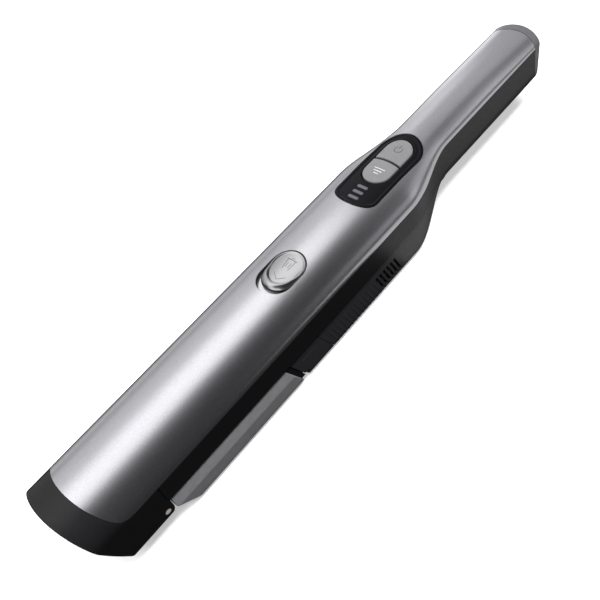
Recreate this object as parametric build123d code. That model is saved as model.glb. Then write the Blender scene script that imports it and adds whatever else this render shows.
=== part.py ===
from build123d import *
import os
from math import radians, tan

# A slim cordless hand vacuum. Millimetres, +X from the nozzle to the handle's end, +Z up,
# and the origin under the middle of its length, on the surface that it lies on.
# The sections below use stations measured from near the seam's front corner, and build() centres them.

# --- overall sizes ---
BODY_W = 58.0          # width of the barrel
HANDLE_W = 35.4        # width of the handle
TOP_Z = 57.2           # crown of the barrel, above the resting surface
SEAM_Z = 43.7          # silver-to-black seam on the barrel
HANDLE_SEAM_Z = 47.7   # the same seam on the handle
BELT_Z = 27.8          # lower edge of the black band on the barrel
HANDLE_BOTTOM_Z = 15.4  # underside of the handle
NOZZLE_BOTTOM_Z = 11.2  # underside of the nozzle block
HANDLE_DROP = 3.4      # the handle's crown comes down by this at its end
NECK_START = 235.0
NECK_END = 288.0
HANDLE_END = 390.0
SHELL_CROWN_END = 394.8  # the silver shell's end bows out to here on the centre line
CAP_CROWN_END = 402.2    # and the cap's end to here
CAP_BOW = 4.8          # depth of the cap's bow over the handle's width
CAP_LEAN = 7.5         # degrees by which the cap's end leans in downwards
NOZZLE_TIP = -33.0
BLOCK_END = 18.1       # rear face of the nozzle block
DOOR_FRONT = 18.6
WALL = 2.0
GAP = 0.15             # half of each parting gap
BELLY_INSET = 1.0      # the belly stands this far inside the band above it
BELLY_R = 8.0
HANDLE_R = 14.0
RAKE = 24.0            # the door's rear end and the panels behind it lean by this
DEEP = 60.0            # half depth of a cutting block across the width

# --- door, catch and slider ---
DOOR_REAR = 110.6      # where the door's rear end meets the band
COLLAR_T = 3.4
HOUSING_FRONT = 114.6
HINGE_COVER_END = 139.2
HINGE_X = 121.6
HINGE_Z = 4.2
HINGE_R = 1.25
HINGE_BARREL_R = 2.6
GUIDE_X = 13.3         # fixed metal pins in the nozzle block, which guide the latch's legs
GUIDE_Z = 21.1
BLOCK_R = 3.0          # rounding of the nozzle block's rear lower edge
GUIDE_R = 1.9
LEG_Y = (21.6, 24.4)   # the latch's legs pass the duct between these
HOOK_Z = 24.6          # the door's lips rest on the hooks at this height
LATCH_Z = (50.0, 51.2) # the latch's flat bar
RECESS_X = 150.4
RECESS_L = 33.6
RECESS_W = 24.0
SLIDER_L = 29.4
SLIDER_W = 22.9

# --- controls ---
PANEL_FRONT = 211.2
PANEL_REAR = 277.0
PANEL_W = 31.0
KEY_FRONT = 231.6
KEY_REAR = 270.8
KEY_W = 19.0
KEY_SPLIT = 251.2
LED_X = (217.0, 221.6, 226.2)

# --- vents ---
VENT_X = 194.4
VENT_PITCH = 3.54
VENT_W = 1.7
VENT_COUNT = 6
VENT_TOP = 20.2
VENT_RAKE = 19.0

# --- suction parts on the barrel's axis ---
AXIS_Z = 27.0
BULKHEAD_X = 128.0
BULKHEAD_T = 3.0
SHROUD_X = 134.0
FAN_R = 18.5
FAN_L = 9.0
SHAFT_R = 1.5
MOTOR_R = 15.5
MOTOR_X = 154.0
MOTOR_L = 34.0
FILTER_R = 19.0
FILTER_L = 34.0
DUCT_Y = 20.3          # outside of the inlet duct
DUCT_Z = (18.4, 46.0)
DUCT_X = (-8.0, 17.9)
FLAP_X = 19.4
FLAP_Z = 44.7
FLAP_PIN_R = 0.8

# --- battery cells ---
CELL_R = 8.3
CELL_L = 65.0
CELL_X = 303.0
NECK_CELL_X = 228.0    # the third cell lies ahead of the two in the handle
NECK_CELL_Z = 31.5

# --- charging socket and fasteners ---
PORT_X = 378.0
GRIP_SCREW_X = 296.2
GRIP_SCREW_Y = 7.0
HOUSING_SCREW_X = (162.0, 206.0)
HOUSING_SCREW_Y = 15.0
KEY_STEMS = (241.0, 260.0)


def blend(x, x0, x1):
    """0 before x0, 1 after x1, and a smooth rise between."""
    t = min(max((x - x0) / (x1 - x0), 0.0), 1.0)
    return t * t * (3 - 2 * t)


def half_width(x):
    return (BODY_W - (BODY_W - HANDLE_W) * blend(x, NECK_START, NECK_END)) / 2


def seam_z(x):
    return SEAM_Z + (HANDLE_SEAM_Z - SEAM_Z) * blend(x, 252.0, NECK_END)


def crown_z(x):
    return TOP_Z - HANDLE_DROP * blend(x, 320.0, 430.0)


def under_z(x):
    return HANDLE_BOTTOM_Z * blend(x, NECK_START, NECK_END)


def corner_r(x):
    return BELLY_R + (HANDLE_R - BELLY_R) * blend(x, NECK_START, NECK_END)


def outline(x, inset=0.0, side=0.0, under=None):
    """Closed section at station x: an elliptical arch on straight sides with rounded lower corners."""
    w = half_width(x) - inset - side
    low = (under_z(x) if under is None else under) + inset
    r = max(corner_r(x) - inset - side, 1.0)
    top = crown_z(x) - inset
    spring = seam_z(x)
    with BuildSketch(Plane.YZ.offset(x)) as sk:
        with BuildLine():
            EllipticalCenterArc((0, spring), w, top - spring, start_angle=0, arc_size=180)
            Line((-w, spring), (-w, low + r))
            RadiusArc((-w, low + r), (-w + r, low), -r)
            Line((-w + r, low), (w - r, low))
            RadiusArc((w - r, low), (w, low + r), -r)
            Line((w, low + r), (w, spring))
        make_face()
    return sk.sketch


def envelope(inset=0.0, side=0.0, front=NOZZLE_TIP - 5.0, rear=HANDLE_END):
    """The outer form from front to rear, shrunk by inset all round and by side at the flanks."""
    stations = [NECK_START + (NECK_END - NECK_START) * i / 6 for i in range(7)]
    handle = [NECK_END, 320.0, 350.0, 375.0, rear]
    barrel = extrude(outline(front, inset, side), amount=NECK_START - front, dir=(1, 0, 0))
    neck = loft([outline(s, inset, side) for s in stations])
    grip = loft([outline(s, inset, side) for s in handle])
    return barrel + neck + grip


def block(x0, x1, y, z0, z1):
    """A box from x0 to x1, y to each side of the middle, and z0 to z1."""
    return Pos((x0 + x1) / 2, 0, (z0 + z1) / 2) * Box(x1 - x0, 2 * y, z1 - z0)


def side_prism(points, depth=DEEP):
    """A closed side-view outline, given as (x, z) points, taken across the width."""
    face = make_face(Plane.XZ * Polyline(*points, close=True))
    return extrude(face, amount=depth, both=True)


def tube_x(r, x0, x1, y=0.0, z=AXIS_Z):
    """A round bar along X."""
    return Pos((x0 + x1) / 2, y, z) * Rot(0, 90, 0) * Cylinder(r, x1 - x0)


def ring_x(r_out, r_in, x0, x1, y=0.0, z=AXIS_Z):
    return tube_x(r_out, x0, x1, y, z) - tube_x(r_in, x0 - 1, x1 + 1, y, z)


def round_axis(angle):
    """A turn by angle about the barrel's axis."""
    return Pos(0, 0, AXIS_Z) * Rot(angle, 0, 0) * Pos(0, 0, -AXIS_Z)


def tube_y(r, y0, y1, x, z):
    """A round bar along Y."""
    return Pos(x, (y0 + y1) / 2, z) * Rot(90, 0, 0) * Cylinder(r, y1 - y0)


def tube_z(r, z0, z1, x, y=0.0):
    return Pos(x, y, (z0 + z1) / 2) * Cylinder(r, z1 - z0)


def plan_stadium(x0, x1, w, z0, z1):
    """An upright prism whose plan is a stadium from x0 to x1, w wide."""
    face = Pos((x0 + x1) / 2, 0, z0) * SlotOverall(x1 - x0, w)
    return extrude(face, amount=z1 - z0, dir=(0, 0, 1))


def seam_line():
    """Side-view line of the silver-to-black seam, from the shell's front corner to the handle's end."""
    low = (252.0, SEAM_Z)
    high = (NECK_END, HANDLE_SEAM_Z)
    middle = ((low[0] + high[0]) / 2, (low[1] + high[1]) / 2)
    return [Line((1.1, SEAM_Z), low),
            Spline([low, middle, high], tangents=[(1, 0), (1, 0)]),
            Line(high, (HANDLE_END + 20, HANDLE_SEAM_Z))]


def above_seam(rise=0.0):
    """Everything above the seam and behind the shell's raked front edge."""
    corner = RadiusArc((-9.1, SEAM_Z + 5.0), (1.1, SEAM_Z), -13.0)
    front = Line((-22.5, 66.0), (-9.1, SEAM_Z + 5.0))
    rear = Line((HANDLE_END + 20, HANDLE_SEAM_Z), (HANDLE_END + 20, 66.0))
    top = Line((HANDLE_END + 20, 66.0), (-22.5, 66.0))
    wire = Wire([front, corner] + seam_line() + [rear, top])
    return Pos(rise * 0.6, 0, rise) * extrude(make_face(Plane.XZ * wire), amount=DEEP, both=True)


def in_front_of_rim():
    """The space ahead of the nozzle's slanted rim."""
    upper = ThreePointArc((-36.8, 64.0), (-29.4, 54.2), (-25.0, 43.0))
    lower = ThreePointArc((-25.0, 43.0), (-19.4, 28.0), (-8.5, 6.0))
    rest = Polyline((-8.5, 6.0), (-80.0, 6.0), (-80.0, 64.0), (-36.8, 64.0))
    face = make_face(Plane.XZ * Wire([upper, lower] + list(rest.edges())))
    return extrude(face, amount=DEEP, both=True)


def before_bowed_end(crown, bow, lean=0.0):
    """Everything ahead of an end that bows out in plan by bow to crown, and leans in downwards."""
    r = ((HANDLE_W / 2) ** 2 + bow ** 2) / (2 * bow)
    drum = Pos(crown - r, 0, TOP_Z) * Rot(0, lean, 0) * Cylinder(r, 3 * DEEP)
    return drum + block(NOZZLE_TIP - 10, crown - r, DEEP, -DEEP, 2 * DEEP)


def raked(x, z0=-5.0, z1=BELT_Z, rake=RAKE):
    """The two side-view points of a raked line that meets the band's lower edge at x."""
    return (x, z1), (x + (z1 - z0) * tan(radians(rake)), z0)


def belly_zone(front):
    """Side-view zone of the belly behind a raked front line, with a rounded rear tip under the neck."""
    top, low = raked(front)
    edge = [Line(low, top), Line(top, (266.0, BELT_Z - GAP))]
    edge.append(ThreePointArc((266.0, BELT_Z - GAP), (280.0, 24.0), (289.0, 8.0)))
    edge += [Line((289.0, 8.0), (289.0, -5.0)), Line((289.0, -5.0), low)]
    return extrude(make_face(Plane.XZ * Wire(edge)), amount=DEEP, both=True)


# --- housings ---

def nozzle_form(inset=0.0):
    """The nozzle block: the barrel's section with a higher underside and a rounded rear lower edge."""
    start = NOZZLE_TIP - 5
    face = outline(start, inset, 0.0, NOZZLE_BOTTOM_Z)
    form = extrude(face, amount=BLOCK_END - start, dir=(1, 0, 0))
    edge = form.edges().filter_by(Axis.Y).sort_by(Axis.X)[-1]
    return fillet(edge, BLOCK_R)


def make_top_shell(outer, inner):
    ring = outline(HANDLE_END) - outline(HANDLE_END, WALL)
    tail = extrude(ring, amount=SHELL_CROWN_END - HANDLE_END, dir=(1, 0, 0))
    shell = (outer - inner + tail) & above_seam(GAP)
    well = plan_stadium(RECESS_X - RECESS_L / 2, RECESS_X + RECESS_L / 2, RECESS_W, 46, 70)
    shell -= well + panel_prism(0.15, 44, 70)
    return shell & before_bowed_end(SHELL_CROWN_END - GAP, SHELL_CROWN_END - HANDLE_END)


def make_main_frame(outer, inner):
    """Nozzle hood and block, side bands of the barrel and sides of the handle, in one moulding."""
    block_solid = nozzle_form() - above_seam(-GAP)
    mouth = block(NOZZLE_TIP - 5, 30, DUCT_Y + 0.2, DUCT_Z[0] - 0.2, DUCT_Z[1] + 0.2)
    hood_room = nozzle_form(WALL) & block(NOZZLE_TIP - 5, 4.0, DEEP, NOZZLE_BOTTOM_Z + 3, 80)
    hood = block_solid - hood_room - in_front_of_rim()
    back_wall = (nozzle_form(WALL) & block(4.0, BLOCK_END, DEEP, 0, 80)) - mouth - above_seam(-3.0)
    band = (outer - inner) & block(BLOCK_END - 1, 300, DEEP, BELT_Z + GAP, 80)
    sides = (outer - inner) & block(286, HANDLE_END - GAP, DEEP, 24.0 + GAP, 80)
    tip = (outer - inner) & block(250, 292.0, DEEP, 0, BELT_Z + 2) - belly_zone(HOUSING_FRONT)
    rear = (band + sides + tip) - above_seam(-GAP)
    frame = hood + back_wall + rear
    frame -= mouth
    for side in (-1, 1):
        y = side * (LEG_Y[0] + LEG_Y[1]) / 2
        frame -= Pos(11.0, y, 34.0) * Box(16.0, LEG_Y[1] - LEG_Y[0] + 0.8, 34.0)
    frame -= block(3.0, 30.0, LEG_Y[1] + 0.4, DUCT_Z[1] - 0.5, 70) & nozzle_form(WALL)
    return frame - tube_y(GUIDE_R, -DEEP, DEEP, GUIDE_X, GUIDE_Z)


def make_bottom_housing():
    outer = envelope(0.0, BELLY_INSET) & belly_zone(HINGE_COVER_END)
    inner = envelope(WALL, BELLY_INSET, front=100)
    shell = outer - inner
    for i in range(VENT_COUNT):
        x = VENT_X + i * VENT_PITCH
        slot = Rot(0, -VENT_RAKE, 0) * Box(VENT_W, 2 * DEEP, 30)
        window = Pos(x, 0, VENT_TOP) * slot & block(x - 20, x + 20, DEEP, 3.2, VENT_TOP)
        shell -= window - block(0, 300, 21.5, -5, 60)
    return shell


def make_hinge_cover():
    """Short panel between the collar and the housing, which carries the hinge pin's ears."""
    outer = envelope(0.0, BELLY_INSET) & belly_zone(HOUSING_FRONT + GAP)
    inner = envelope(WALL, BELLY_INSET, front=100)
    cover = (outer - inner) - belly_zone(HINGE_COVER_END - 2 * GAP)
    knuckle_room = block(110, HINGE_X + 5.4, DEEP, -5, HINGE_Z + 4.6)
    cover -= knuckle_room
    for side in (-1, 1):
        y0, y1 = sorted((side * 20.4, side * 23.4))
        ear = tube_y(HINGE_BARREL_R, y0, y1, HINGE_X, HINGE_Z)
        web = block(HINGE_X, HINGE_X + 8.0, 1.5, HINGE_Z - 0.4, HINGE_Z + 2.6)
        cover += ear + Pos(0, (y0 + y1) / 2, 0) * web
    cover -= tube_y(HINGE_R, -25, 25, HINGE_X, HINGE_Z)
    inside = block(100, 160, half_width(0) - BELLY_INSET - 0.6, 0, 60)
    groove = block(123.6, 136.9, DEEP, 20.5, 21.1) - inside
    return cover - groove


def make_grip_cover():
    """Underside of the handle, which closes the battery bay."""
    outer = envelope() - envelope(WALL, front=100)
    zone = block(270, HANDLE_END - GAP, DEEP, 0, 24.0 - GAP) - belly_zone(HOUSING_FRONT)
    cover = (outer & zone) - (block(200, 292.2, DEEP, 0, 40))
    cover -= Pos(PORT_X, 0, HANDLE_BOTTOM_Z) * Box(9.2, 3.6, 12)
    for side in (-1, 1):
        y = side * GRIP_SCREW_Y
        cover += tube_z(3.6, HANDLE_BOTTOM_Z + 1.2, HANDLE_BOTTOM_Z + 6.0, GRIP_SCREW_X, y)
        cover -= tube_z(1.2, 0, 40, GRIP_SCREW_X, y)
        cover -= tube_z(2.7, 0, HANDLE_BOTTOM_Z + 2.3, GRIP_SCREW_X, y)
    return cover


def make_end_cap():
    """Cap with a bowed, slightly leaning end behind the silver shell, and a spigot inside the handle."""
    cap = extrude(outline(HANDLE_END), amount=20.0, dir=(1, 0, 0))
    cap &= before_bowed_end(CAP_CROWN_END, CAP_BOW, CAP_LEAN)
    cap = fillet(cap.faces().sort_by(Axis.X)[-1].edges(), 1.9)
    shell_room = before_bowed_end(SHELL_CROWN_END + GAP, SHELL_CROWN_END - HANDLE_END)
    cap -= shell_room & above_seam(-GAP)
    spigot = extrude(outline(HANDLE_END - 4, WALL + 0.2), amount=4.0, dir=(1, 0, 0))
    bore = extrude(outline(HANDLE_END - 5, WALL + 1.8), amount=5.5, dir=(1, 0, 0))
    return cap + (spigot - bore)


# --- dust door and cup ---

def make_dust_door():
    """U-shaped door under the cup, hinged at its rear, with two lips at its front for the latch."""
    outer = envelope(0.0, BELLY_INSET, front=0.0)
    inner = envelope(WALL, BELLY_INSET, front=0.0)
    top, low = raked(DOOR_REAR)
    nose = [(DOOR_FRONT, 16.8), (30.0, 6.4), (44.0, -6.0)]
    side = side_prism([(DOOR_FRONT, 60)] + nose + [low, top, (top[0], 60)])
    shell = (outer - inner) & side & block(0, 130, DEEP, -5, BELT_Z - GAP)
    nose_back = [(46.8, -6.0), (31.6, 8.0), (DOOR_FRONT + 2.0, 17.6), (DOOR_FRONT, 17.6)]
    shell += side_prism(nose + nose_back) & inner
    end_top, end_low = raked(DOOR_REAR - 2.2)
    filter_room = tube_x(FILTER_R + 4.0, 60, 140)
    end_wall = side_prism([top, low, end_low, end_top]) & inner
    shell += (end_wall & block(0, 130, DEEP, -5, BELT_Z - 4)) - filter_room
    shell -= block(HINGE_X - 2.8, 140, DEEP, -5, HINGE_Z + 4.6)
    for side in (-1, 1):
        y0, y1 = LEG_Y
        post = Pos(DOOR_FRONT + 1.0, side * (y0 + 27.0) / 2, 21.4) * Box(2.0, 27.0 - y0, 9.6)
        lip = Pos(DOOR_FRONT - 0.7, side * (y0 + y1) / 2, HOOK_Z + 0.8) * Box(3.4, y1 - y0, 1.6)
        shell += post + lip
        arm = Pos(116.0, side * 15.0, HINGE_Z - 1.0) * Box(HINGE_X - 110.4, 8.0, 3.6)
        y0, y1 = sorted((side * 10.0, side * 20.0))
        shell += arm + tube_y(HINGE_BARREL_R, y0, y1, HINGE_X, HINGE_Z)
    return shell - tube_y(HINGE_R + 0.05, -25, 25, HINGE_X, HINGE_Z)


def make_door_collar():
    """Black ring fixed to the door's raked rear end."""
    ring = envelope(0.2, BELLY_INSET, front=0.0) - envelope(WALL + 0.6, BELLY_INSET, front=0.0)
    top, low = raked(DOOR_REAR + GAP)
    end_top, end_low = raked(DOOR_REAR + COLLAR_T)
    height = block(0, 160, DEEP, HINGE_Z + 3.2, BELT_Z - GAP)
    return ring & side_prism([top, low, end_low, end_top]) & height


def make_door_seals():
    """Rubber strips inside the door's upper edges."""
    y = BODY_W / 2 - BELLY_INSET - WALL - 0.8
    strip = Pos(66.0, y, BELT_Z - 2.0) * Box(82.0, 1.6, 2.4)
    strip = fillet(strip.edges().filter_by(Axis.X), 0.6)
    return strip + mirror(strip, Plane.XZ)


def make_dust_cup():
    """Clear liner: side walls and a flat roof under the latch's bar."""
    roof_z = LATCH_Z[0] - 0.4
    outer = envelope(WALL + 0.6, 0.0, front=24) & block(24, BULKHEAD_X - 0.6, DEEP, BELT_Z + 0.3, roof_z)
    inner = envelope(WALL + 2.0, 0.0, front=20) & block(25.4, BULKHEAD_X + 5, DEEP, 0, roof_z - 1.4)
    gate = block(20, 30, DUCT_Y, 16.0, DUCT_Z[1] + 1.0)
    return outer - inner - gate


def make_inlet_duct():
    """Rectangular throat from behind the mouth to the dust cup, with lugs for the flap's pin."""
    x0, x1 = DUCT_X
    z0, z1 = DUCT_Z
    tube = block(x0, x1, DUCT_Y, z0, z1) - block(x0 - 2, x1 + 2, DUCT_Y - 1.6, z0 + 1.6, z1 - 1.6)
    for side in (-1, 1):
        tube += Pos(x1 + 1.4, side * (DUCT_Y - 0.7), z1 - 1.5) * Box(3.4, 1.4, 3.0)
    return tube - tube_y(FLAP_PIN_R, -30, 30, FLAP_X, FLAP_Z)


def make_inlet_flap():
    """Rubber one-way flap that hangs from its pin over the duct's rear mouth."""
    width = DUCT_Y - 1.8
    leaf = block(18.2, 19.2, width, DUCT_Z[0] + 0.3, FLAP_Z)
    knuckle = tube_y(1.3, -width, width, FLAP_X, FLAP_Z)
    return (leaf + knuckle) - tube_y(FLAP_PIN_R + 0.05, -30, 30, FLAP_X, FLAP_Z)


def make_flap_pin():
    return tube_y(FLAP_PIN_R, -DUCT_Y, DUCT_Y, FLAP_X, FLAP_Z)


# --- filter ---

def make_filter_frame():
    """Flange, nose and four bars round the pleats, pushed onto the bulkhead."""
    x1 = BULKHEAD_X - 0.8
    x0 = x1 - FILTER_L
    flange = ring_x(FILTER_R + 2.2, 13.5, x1 - 3.0, x1)
    nose = tube_x(FILTER_R + 0.6, x0 - 3.0, x0)
    nose = fillet(nose.faces().sort_by(Axis.X)[0].edges(), 1.4)
    bars = ring_x(FILTER_R + 0.6, FILTER_R - 0.4, x0, x1 - 3.0) & (
        block(x0, x1, 1.6, 0, 60) + Pos(0, 0, AXIS_Z) * block(x0, x1, 40, -1.6, 1.6))
    pull = block(x0 - 7.5, x0 - 2.5, 1.1, AXIS_Z - 7, AXIS_Z + 7)
    return flange + nose + bars + pull


def make_pleated_filter():
    """Ring of radial pleats."""
    x1 = BULKHEAD_X - 0.8
    core = ring_x(15.0, 13.5, x1 - FILTER_L, x1 - 3.0)
    count = 24
    pleat = Pos(x1 - FILTER_L / 2 - 1.5, 0, AXIS_Z + 16.0) * Box(FILTER_L - 3.0, 1.1, 3.0)
    return core + [round_axis(360 / count * i) * pleat for i in range(count)]


def make_mesh_screen():
    """Metal sleeve with rows of slots round the pleats."""
    x1 = BULKHEAD_X - 0.8
    sleeve = ring_x(FILTER_R - 0.6, FILTER_R - 1.2, x1 - FILTER_L, x1 - 3.0)
    rows = 18
    slot = Pos(x1 - FILTER_L / 2 - 3.5, 0, AXIS_Z + FILTER_R) * Box(FILTER_L - 14.0, 2.6, 8)
    return sleeve - [round_axis(360 / rows * i) * slot for i in range(rows)]


def make_filter_seal():
    return ring_x(FILTER_R + 2.0, FILTER_R - 2.0, BULKHEAD_X - 0.8, BULKHEAD_X)


def make_bulkhead():
    """Wall between the cup and the motor bay, with the air hole and a notch for the latch's bar."""
    plate = envelope(WALL + 0.3, 1.0, front=90) & block(BULKHEAD_X, BULKHEAD_X + BULKHEAD_T, DEEP, 7.5, 80)
    collar = ring_x(15.5, 13.0, BULKHEAD_X + BULKHEAD_T, SHROUD_X)
    plate = plate - tube_x(13.0, BULKHEAD_X - 5, SHROUD_X)
    rod = block(BULKHEAD_X - 5, SHROUD_X, 4.4, LATCH_Z[0] - 0.6, 60)
    return (plate - rod) + collar


# --- motor ---

def make_fan_shroud():
    x1 = SHROUD_X + FAN_L + 6.0
    drum = tube_x(FAN_R + 2.4, SHROUD_X, x1) - tube_x(FAN_R + 0.8, SHROUD_X + 1.6, x1 + 1)
    return drum - tube_x(12.0, SHROUD_X - 1, SHROUD_X + 3)


def make_impeller():
    """Back plate, hub and swept blades on the motor's shaft."""
    x0 = SHROUD_X + 3.2
    plate = tube_x(FAN_R, x0 + FAN_L - 1.4, x0 + FAN_L)
    hub = tube_x(4.2, x0, x0 + FAN_L)
    count = 9
    blade = Pos(x0 + FAN_L / 2, 7.4, AXIS_Z + 9.2) * Rot(-38, 0, 0) * Box(FAN_L, 1.1, 15.0)
    blades = [round_axis(360 / count * i) * blade for i in range(count)]
    wheel = (plate + hub + blades) & tube_x(FAN_R, x0, x0 + FAN_L)
    return wheel - tube_x(SHAFT_R, x0 - 1, x0 + FAN_L + 1)


def make_motor_shaft():
    return tube_x(SHAFT_R, SHROUD_X + 2.2, MOTOR_X + MOTOR_L - 4.0)


def make_motor_can():
    can = tube_x(MOTOR_R, MOTOR_X, MOTOR_X + MOTOR_L)
    can = fillet(can.edges().filter_by(GeomType.CIRCLE), 1.2)
    room = tube_x(SHAFT_R + 0.05, MOTOR_X - 1, MOTOR_X + MOTOR_L - 3.8)
    vent = Pos(MOTOR_X + 4.5, 0, AXIS_Z + MOTOR_R) * Box(5, 6, 3)
    return can - room - [round_axis(60 * i) * vent for i in range(6)]


def make_motor_mount(x0):
    """Rubber ring with feet that reach the housing."""
    ring = ring_x(MOTOR_R + 3.2, MOTOR_R, x0, x0 + 5.0)
    arm = Pos(x0 + 2.5, MOTOR_R + 5.4, AXIS_Z) * Box(5.0, 8.0, 6.0)
    return ring + (arm + mirror(arm, Plane.XZ)) - tube_x(MOTOR_R, x0 - 1, x0 + 6)


def make_motor_driver():
    x0 = MOTOR_X + MOTOR_L + 2.0
    disc = tube_x(13.0, x0, x0 + 1.6)
    spots = ((-5, 4), (5, 4), (-5, -5), (5, -5))
    return disc + [Pos(x0 + 2.3, y, AXIS_Z + z) * Box(1.4, 4, 5) for y, z in spots]


def make_exhaust_foam():
    """Two foam strips behind the vent slots."""
    strip = Pos(VENT_X + 9.0, half_width(0) - BELLY_INSET - WALL - 2.2, 14.0) * Box(30.0, 3.0, 12.0)
    return strip + mirror(strip, Plane.XZ)


# --- release slider, latch and spring ---

def make_slider_well():
    """Tub under the oblong recess, open for the slider's stem."""
    x0 = RECESS_X - RECESS_L / 2
    x1 = RECESS_X + RECESS_L / 2
    tub = plan_stadium(x0 - 1.4, x1 + 1.4, RECESS_W + 2.8, 51.5, 57.2)
    room = plan_stadium(x0, x1, RECESS_W, 52.7, 62)
    stem_slot = block(RECESS_X - 12.0, RECESS_X + 4.0, 3.4, 49, 60)
    seat = block(RECESS_X + 10.4, RECESS_X + 12.0, 2.4, 48.4, 52.0)
    return ((tub & envelope(WALL + 0.15, front=90)) - room - stem_slot) + seat


def make_release_slider():
    """Thumb slide with a raised front crescent, a scooped face and a stem."""
    x1 = RECESS_X + RECESS_L / 2 - 0.5
    x0 = x1 - SLIDER_L
    pad = plan_stadium(x0, x1, SLIDER_W, 53.6, 60.0) & envelope(-0.5, front=90)
    scoop_r = 70.0
    scoop = Pos(x1 - 9.0, 0, TOP_Z - 1.6 + scoop_r) * Rot(90, 0, 0) * Cylinder(scoop_r, 40)
    pad -= scoop & plan_stadium(x0 + 4.8, x1 + 9.0, SLIDER_W - 2.4, 50, 70)
    stem = block(RECESS_X - 6.0, RECESS_X + 1.5, 2.9, 48.3, 54.4)
    return pad + stem


def make_door_latch():
    """Flat bar from the slider's stem to a yoke over the duct, with two hooked legs for the door's lips."""
    end = RECESS_X - 6.0
    z0, z1 = LATCH_Z
    yoke_z = DUCT_Z[1] + 0.6
    latch = block(14.0, end, 3.4, z0, z1) + block(12.0, 15.0, 3.4, yoke_z, z1)
    latch += block(12.0, 15.0, LEG_Y[1], yoke_z, yoke_z + 1.6) & nozzle_form(WALL + 0.3)
    wide = LEG_Y[1] - LEG_Y[0]
    slot_plan = SlotOverall(7.2, 2 * GUIDE_R + 0.3)
    for side in (-1, 1):
        y = side * (LEG_Y[0] + LEG_Y[1]) / 2
        leg = Pos(13.5, y, (19.0 + yoke_z + 0.8) / 2) * Box(3.0, wide, yoke_z - 18.2)
        eye = Pos(13.0, y, GUIDE_Z) * Box(9.6, wide, 6.4)
        hook = Pos(15.6, y, HOOK_Z - 0.9) * Box(4.2, wide, 1.4)
        slot = Pos(GUIDE_X + 1.6, y, GUIDE_Z) * Rot(90, 0, 0) * extrude(slot_plan, amount=5, both=True)
        latch += (leg + eye + hook) - slot
    return latch


def make_guide_pins():
    """Two metal pins through the nozzle block's sides, flush with them."""
    pin = tube_y(GUIDE_R, -BODY_W / 2 + 0.1, -LEG_Y[0], GUIDE_X, GUIDE_Z)
    return pin + mirror(pin, Plane.XZ)


def make_release_spring():
    return Pos(RECESS_X + 5.95, 0, 50.0) * Rot(0, 90, 0) * coil(1.15, 0.3, 8.0, 7)


def coil(radius, wire_r, length, turns):
    """Helical compression spring along Z, centred."""
    path = Helix(pitch=length / turns, height=length, radius=radius)
    start = Plane(origin=path @ 0, z_dir=path % 0)
    return Pos(0, 0, -length / 2) * sweep(start * Circle(wire_r), path=path, is_frenet=True)


# --- controls ---

def panel_plan(grow=0.0):
    """Shield shape: bowed front edge, parallel sides and a round rear."""
    w = PANEL_W / 2 + grow
    front = PANEL_FRONT - grow
    shoulder = PANEL_FRONT + 7.0
    rear = PANEL_REAR + grow
    edge = [ThreePointArc((shoulder, -w + 1.0), (front, 0), (shoulder, w - 1.0)),
            ThreePointArc((shoulder, w - 1.0), (shoulder + 0.9, w - 0.3), (shoulder + 2.2, w)),
            Line((shoulder + 2.2, w), (rear - w, w)),
            ThreePointArc((rear - w, w), (rear, 0), (rear - w, -w)),
            Line((rear - w, -w), (shoulder + 2.2, -w)),
            ThreePointArc((shoulder + 2.2, -w), (shoulder + 0.9, -w + 0.3), (shoulder, -w + 1.0))]
    return make_face(Wire(edge))


def panel_prism(grow, z0, z1):
    return extrude(Pos(0, 0, z0) * panel_plan(grow), amount=z1 - z0, dir=(0, 0, 1))


def key_prism(grow, z0, z1):
    return plan_stadium(KEY_FRONT - grow, KEY_REAR + grow, KEY_W + 2 * grow, z0, z1)


def make_control_panel(outer):
    skin = (outer - envelope(WALL + 0.4, front=90)) & panel_prism(0.0, 40, 70)
    skin -= key_prism(0.25, 40, 70)
    bars = [led_slot(x, 0.1) for x in LED_X]
    return skin - bars


def led_slot(x, grow=0.0):
    face = Pos(x, 0, 54.0) * Rot(0, 0, 90) * SlotOverall(7.6 + 2 * grow, 1.9 + 2 * grow)
    return extrude(face, amount=6.0, dir=(0, 0, 1))


def make_led_bars():
    cover = envelope(0.1, front=190)
    bars = [led_slot(x) & cover for x in LED_X]
    return bars[0] + bars[1] + bars[2]


def divider():
    """Bowed cutter between the two keys."""
    arc = CenterArc((KEY_SPLIT - 30.0, 0), 30.0, -40, 80)
    return extrude(Pos(0, 0, 44) * trace(arc, line_width=0.6), amount=30, dir=(0, 0, 1))


def keys(raise_by=0.25):
    """Both keys in one oblong: first the front one, then the rear one."""
    crown = envelope(-raise_by, front=190) & key_prism(0.0, 52.6, 70)
    cut = crown - divider()
    front, rear = cut.solids().sort_by(Axis.X)
    return front, rear


def with_plunger(key, x):
    return key + tube_z(2.0, 50.3, 53.2, x)


def make_switch(x):
    body = Pos(x, 0, 48.4) * Box(6.8, 6.8, 1.6)
    return body + tube_z(1.6, 49.2, 49.4, x)


def make_control_board():
    board = block(214.0, 272.0, 10.5, 46.3, 47.6)
    lamps = [Pos(x, 0, 48.1) * Box(1.6, 3.2, 1.0) for x in LED_X]
    return board + lamps


def make_key_spring(x):
    return Pos(x, 0, 50.9) * coil(2.9, 0.25, 2.8, 3)


# --- battery, charging and fasteners ---

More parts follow.
